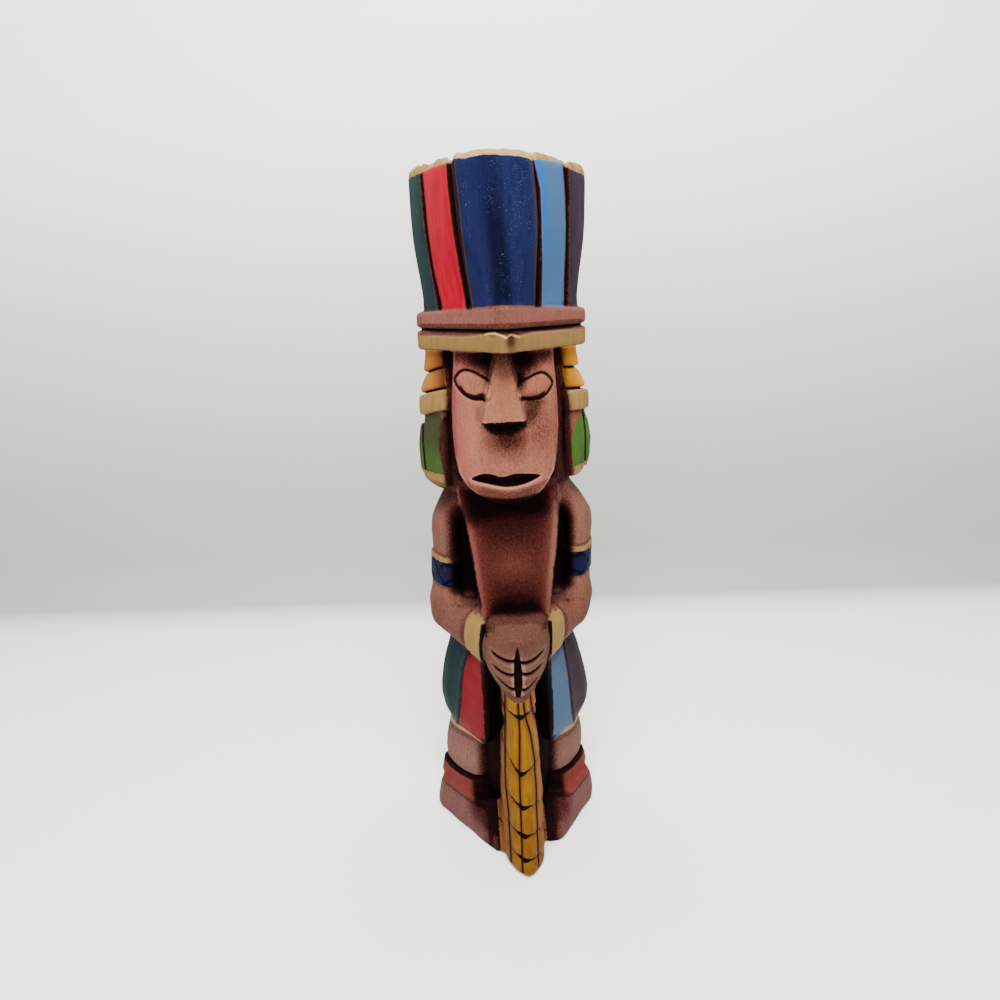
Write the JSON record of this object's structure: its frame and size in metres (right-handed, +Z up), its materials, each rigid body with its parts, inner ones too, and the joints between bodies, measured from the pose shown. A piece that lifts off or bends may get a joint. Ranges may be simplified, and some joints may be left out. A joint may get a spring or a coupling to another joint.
{
  "type": "carved wooden totem",
  "caption": "Tall painted wood carving of a standing figure in a feather crown, its hands clasped over a feathered staff, cut from a wedge-fronted billet.",
  "frame": {"origin": "on the floor under the middle of the carving's width and depth", "axes": "+Z up the figure, -Y out of its front, +X to the right of someone who faces that front"},
  "size_m": [0.0946, 0.0894, 0.359],
  "materials": {
    "painted_wood": "stained and painted by hand, satin"
  },
  "bodies": {
    "root": {"carved_figure": "painted_wood"}
  },
  "joints": []
}
